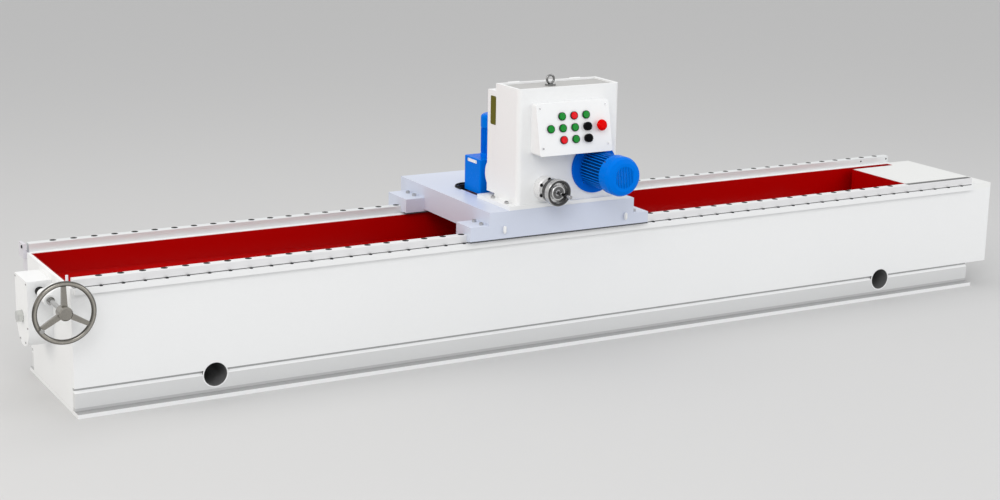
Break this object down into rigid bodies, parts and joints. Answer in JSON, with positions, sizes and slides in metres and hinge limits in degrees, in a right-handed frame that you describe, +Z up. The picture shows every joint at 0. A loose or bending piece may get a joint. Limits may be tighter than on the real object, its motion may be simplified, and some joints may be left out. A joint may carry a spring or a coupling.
{
  "type": "knife grinding machine",
  "caption": "Long-bed knife grinding machine: white box bed with guide rails and a red coolant trough, and a rail carriage with column, push-button console, feed motor and handwheel end.",
  "frame": {"origin": "middle of the bed's length and width, on the base plate's underside", "axes": "+X along the bed, away from the handwheel end; -Y towards the operator; +Z up"},
  "size_m": [3.94, 0.887, 0.972],
  "materials": {
    "white_paint": "semi-gloss",
    "red_paint": "semi-gloss",
    "lavender_paint": "satin",
    "blue_paint": "gloss",
    "roof_grey": "satin",
    "rail_steel": "ground",
    "shaft_steel": "ground",
    "chrome": "polished",
    "handwheel_grey": "machined",
    "black_rubber": "matte",
    "black_plastic": "matte",
    "green_plastic": "gloss",
    "red_plastic": "gloss",
    "bezel_black": "gloss",
    "abrasive": "matte"
  },
  "bodies": {
    "bed": {"base_frame": "white_paint", "bed_box": "white_paint", "left_end_plate": "white_paint", "lifting_tubes": "white_paint", "coolant_tray": "red_paint", "deck_plate": "white_paint", "front_rail_seat": "white_paint", "rear_rail_seat": "white_paint", "front_rail": "rail_steel", "rear_rail": "rail_steel", "rail_stops": "lavender_paint", "rack_seat": "red_paint", "drive_rack": "shaft_steel", "worm_housing": "white_paint", "worm_cover": "white_paint", "seal_collar": "black_rubber", "shaft_bracket": "white_paint"},
    "handwheel_shaft": {"worm_shaft": "chrome", "handwheel": "handwheel_grey"},
    "crank_grip": {"crank_handle": "chrome"},
    "wheel_shaft": {"worm_wheel": "chrome"},
    "carriage": {"carriage_body": "lavender_paint", "slide_blocks": "lavender_paint", "carriage_bolts": "shaft_steel", "oilers": "white_paint", "reducer_housing": "blue_paint", "drive_motor": "blue_paint", "drive_motor_cowl": "blue_paint", "column": "white_paint", "column_roof": "roof_grey", "eyebolt": "chrome", "console_box": "white_paint", "console_cover": "white_paint", "button_bezels": "bezel_black", "nose_flange": "shaft_steel", "feed_motor_flange": "blue_paint", "feed_motor_frame": "blue_paint", "feed_motor_cowl": "blue_paint"},
    "pinion": {"drive_pinion": "shaft_steel"},
    "head": {"head_slide": "white_paint", "grinding_motor": "blue_paint", "grinding_motor_cowl": "blue_paint", "wheel_guard": "white_paint"},
    "spindle": {"grinding_spindle": "shaft_steel", "grinding_wheel": "abrasive"},
    "screw": {"feed_screw": "shaft_steel"},
    "dial": {"feed_dial": "chrome", "feed_shaft": "chrome"},
    "motor_rotor": {"feed_motor_rotor": "shaft_steel"},
    "green_button_top_left": {"green_button_top_left": "green_plastic"},
    "red_button_top": {"red_button_top": "red_plastic"},
    "green_button_top_right": {"green_button_top_right": "green_plastic"},
    "green_button_far_left": {"green_button_far_left": "green_plastic"},
    "green_button_mid_left": {"green_button_mid_left": "green_plastic"},
    "green_button_mid_right": {"green_button_mid_right": "green_plastic"},
    "red_button_low": {"red_button_low": "red_plastic"},
    "green_button_low": {"green_button_low": "green_plastic"},
    "upper_speed_knob": {"upper_speed_knob": "black_plastic"},
    "lower_speed_knob": {"lower_speed_knob": "black_plastic"},
    "emergency_stop": {"emergency_stop": "red_plastic"}
  },
  "joints": [
    {"name": "carriage_travel", "type": "slide", "parent": "bed", "child": "carriage", "axis": [1, 0, 0], "range_m": [-1.35, 1.5]},
    {"name": "pinion_spin", "type": "hinge", "parent": "carriage", "child": "pinion", "pos_m": [-0.3, 0.022, 0.35], "axis": [0, 0, 1], "range_deg": [-2400, 2160]},
    {"name": "handwheel_turn", "type": "hinge", "parent": "bed", "child": "handwheel_shaft", "pos_m": [-1.94, -0.32, 0.361], "axis": [0, 1, 0], "continuous": true},
    {"name": "crank_grip_spin", "type": "hinge", "parent": "handwheel_shaft", "child": "crank_grip", "pos_m": [-2.01621, -0.32, 0.317], "axis": [0, 1, 0], "continuous": true},
    {"name": "worm_wheel_turn", "type": "hinge", "parent": "bed", "child": "wheel_shaft", "pos_m": [-1.94, 0.0325, 0.266], "axis": [1, 0, 0], "continuous": true},
    {"name": "head_feed", "type": "slide", "parent": "carriage", "child": "head", "axis": [0, 0, 1], "range_m": [-0.01, 0.1]},
    {"name": "feed_screw_turn", "type": "hinge", "parent": "carriage", "child": "screw", "pos_m": [-0.118, -0.14, 0.52], "axis": [0, 0, 1], "range_deg": [-380, 3620]},
    {"name": "feed_dial_turn", "type": "hinge", "parent": "carriage", "child": "dial", "pos_m": [-0.223, -0.268, 0.588], "axis": [0, 1, 0], "range_deg": [-100, 910]},
    {"name": "grinding_spindle_spin", "type": "hinge", "parent": "head", "child": "spindle", "pos_m": [-0.118, 0.072, 0.426], "axis": [0, 0, 1], "continuous": true},
    {"name": "feed_motor_spin", "type": "hinge", "parent": "carriage", "child": "motor_rotor", "pos_m": [-0.022, -0.268, 0.644], "axis": [0, 1, 0], "continuous": true},
    {"name": "green_button_top_left_press", "type": "slide", "parent": "carriage", "child": "green_button_top_left", "axis": [0, 0.9775, -0.211], "range_m": [0, 0.004], "stiffness_N_per_m": 500},
    {"name": "red_button_top_press", "type": "slide", "parent": "carriage", "child": "red_button_top", "axis": [0, 0.9775, -0.211], "range_m": [0, 0.004], "stiffness_N_per_m": 500},
    {"name": "green_button_top_right_press", "type": "slide", "parent": "carriage", "child": "green_button_top_right", "axis": [0, 0.9775, -0.211], "range_m": [0, 0.004], "stiffness_N_per_m": 500},
    {"name": "green_button_far_left_press", "type": "slide", "parent": "carriage", "child": "green_button_far_left", "axis": [0, 0.9775, -0.211], "range_m": [0, 0.004], "stiffness_N_per_m": 500},
    {"name": "green_button_mid_left_press", "type": "slide", "parent": "carriage", "child": "green_button_mid_left", "axis": [0, 0.9775, -0.211], "range_m": [0, 0.004], "stiffness_N_per_m": 500},
    {"name": "green_button_mid_right_press", "type": "slide", "parent": "carriage", "child": "green_button_mid_right", "axis": [0, 0.9775, -0.211], "range_m": [0, 0.004], "stiffness_N_per_m": 500},
    {"name": "red_button_low_press", "type": "slide", "parent": "carriage", "child": "red_button_low", "axis": [0, 0.9775, -0.211], "range_m": [0, 0.004], "stiffness_N_per_m": 500},
    {"name": "green_button_low_press", "type": "slide", "parent": "carriage", "child": "green_button_low", "axis": [0, 0.9775, -0.211], "range_m": [0, 0.004], "stiffness_N_per_m": 500},
    {"name": "upper_speed_knob_turn", "type": "hinge", "parent": "carriage", "child": "upper_speed_knob", "pos_m": [-0.0866, -0.3196, 0.80287], "axis": [0, -0.9775, 0.211], "range_deg": [-135, 135]},
    {"name": "lower_speed_knob_turn", "type": "hinge", "parent": "carriage", "child": "lower_speed_knob", "pos_m": [-0.0866, -0.32821, 0.76298], "axis": [0, -0.9775, 0.211], "range_deg": [-135, 135]},
    {"name": "emergency_stop_press", "type": "slide", "parent": "carriage", "child": "emergency_stop", "axis": [0, 0.9775, -0.211], "range_m": [0, 0.005], "stiffness_N_per_m": 1200}
  ],
  "couplings": [
    {"joint": "pinion_spin", "follows": "carriage_travel", "rad_per_m": -27.778},
    {"joint": "worm_wheel_turn", "follows": "handwheel_turn", "ratio": 0.025},
    {"joint": "feed_screw_turn", "follows": "head_feed", "rad_per_m": 628.32},
    {"joint": "feed_dial_turn", "follows": "head_feed", "rad_per_m": 157.08}
  ]
}
